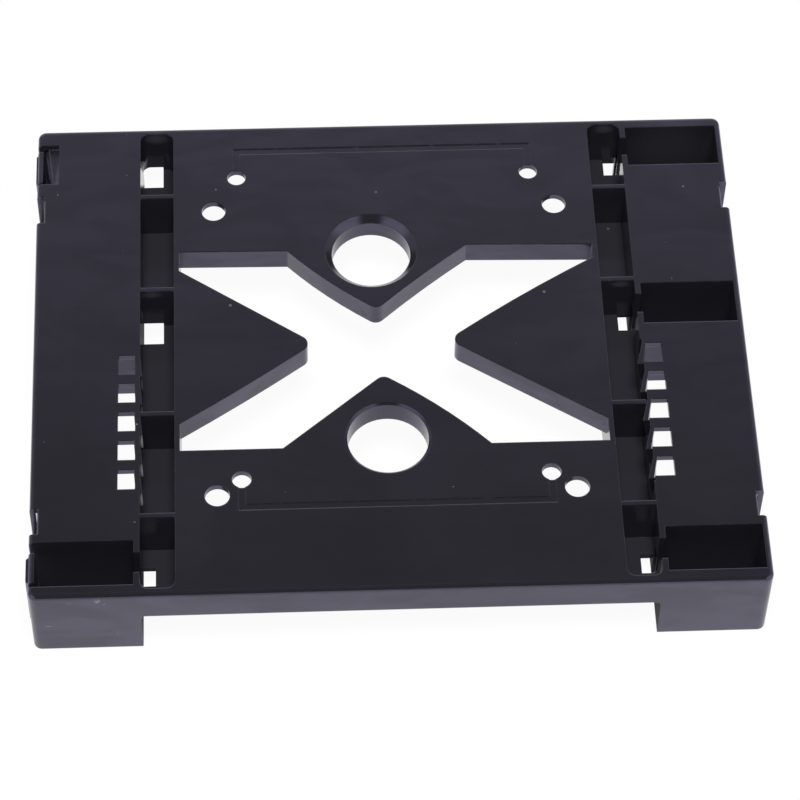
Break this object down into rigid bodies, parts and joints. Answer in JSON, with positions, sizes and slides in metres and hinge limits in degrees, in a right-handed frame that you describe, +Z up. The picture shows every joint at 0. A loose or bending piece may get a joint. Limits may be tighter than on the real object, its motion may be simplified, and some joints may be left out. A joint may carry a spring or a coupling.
{
  "type": "drive bay adapter bracket",
  "caption": "Ribbed moulded tray that mounts a narrower drive, a small drive or a cooling fan in a wide computer drive bay.",
  "frame": {"origin": "on the floor plane under the runners, below the centre of the fan hole square", "axes": "+X to the runner with three open pockets, +Y to the rear, away from the front wall, +Z up out of the deck"},
  "size_m": [0.1461, 0.117, 0.019],
  "materials": {
    "black_plastic": "satin"
  },
  "bodies": {
    "root": {"bay_adapter_bracket": "black_plastic"}
  },
  "joints": []
}
